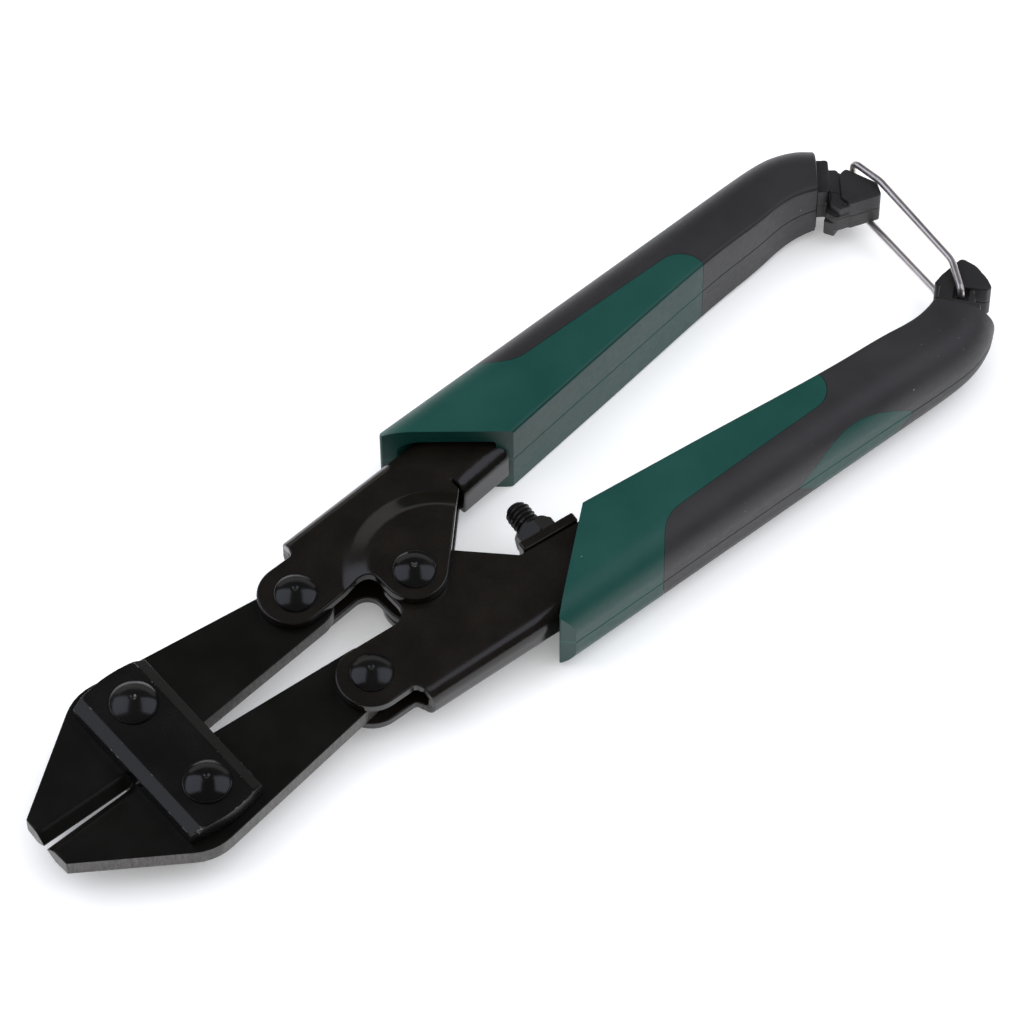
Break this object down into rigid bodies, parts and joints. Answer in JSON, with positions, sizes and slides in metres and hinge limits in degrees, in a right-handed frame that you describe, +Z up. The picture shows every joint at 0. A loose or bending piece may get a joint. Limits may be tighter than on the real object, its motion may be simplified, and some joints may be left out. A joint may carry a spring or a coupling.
{
  "type": "bolt cutters",
  "caption": "Small bolt cutters with two pinned jaws, folded steel handles in two-colour grips, a stop screw and a wire bail that holds the handles shut.",
  "frame": {"origin": "centre of the bounding box, on its underside, level with the flat undersides of the grips", "axes": "+X along the tool from the blades to the grip ends, +Y towards handle a, +Z up, across the tool's thickness and along every rivet"},
  "size_m": [0.2083, 0.0598, 0.0186],
  "materials": {
    "jaw_steel": "gloss black oxide",
    "plate_steel": "gloss black, worn edges",
    "rivet_steel": "gloss black",
    "frame_steel": "gloss black paint",
    "screw_steel": "black oxide",
    "green_grip": "satin",
    "black_grip": "matte",
    "plug_plastic": "satin",
    "bail_steel": "drawn wire"
  },
  "bodies": {
    "head": {"tie_plate_top": "plate_steel", "tie_plate_bottom": "plate_steel", "jaw_rivet_a": "rivet_steel", "jaw_rivet_b": "rivet_steel"},
    "jaw_a": {"jaw_a": "jaw_steel"},
    "jaw_b": {"jaw_b": "jaw_steel"},
    "handle_a": {"handle_frame_a": "frame_steel", "link_rivet_a": "rivet_steel", "centre_rivet": "rivet_steel", "centre_spacer": "rivet_steel", "grip_a_green": "green_grip", "grip_a_black": "black_grip", "grip_a_patch": "green_grip", "hook_plug_a": "plug_plastic"},
    "handle_b": {"handle_frame_b": "frame_steel", "link_rivet_b": "rivet_steel", "stop_screw": "screw_steel", "stop_nut": "screw_steel", "grip_b_green": "green_grip", "grip_b_black": "black_grip", "grip_b_patch": "green_grip", "bail_plug_b": "plug_plastic"},
    "bail": {"bail_wire": "bail_steel"}
  },
  "joints": [
    {"name": "jaw_a_swing", "type": "hinge", "parent": "head", "child": "jaw_a", "pos_m": [-0.076, 0.0106, 0.0093], "axis": [0, 0, -1], "range_deg": [-0.9, 4]},
    {"name": "jaw_b_swing", "type": "hinge", "parent": "head", "child": "jaw_b", "pos_m": [-0.076, -0.0106, 0.0093], "axis": [0, 0, 1], "range_deg": [-0.9, 4]},
    {"name": "handle_a_swing", "type": "hinge", "parent": "jaw_a", "child": "handle_a", "pos_m": [-0.0389, 0.0109, 0.0093], "axis": [0, 0, 1], "range_deg": [-2.5, 11.5]},
    {"name": "handle_b_swing", "type": "hinge", "parent": "jaw_b", "child": "handle_b", "pos_m": [-0.0389, -0.0109, 0.0093], "axis": [0, 0, -1], "range_deg": [-2.5, 11.5]},
    {"name": "bail_swing", "type": "hinge", "parent": "handle_b", "child": "bail", "pos_m": [0.0974, -0.0178, 0.0093], "axis": [0, 0, -1], "range_deg": [0, 105]}
  ],
  "couplings": [
    {"joint": "jaw_a_swing", "follows": "handle_a_swing", "ratio": 0.344},
    {"joint": "jaw_b_swing", "follows": "handle_a_swing", "ratio": 0.344},
    {"joint": "handle_b_swing", "follows": "handle_a_swing", "ratio": 1}
  ]
}
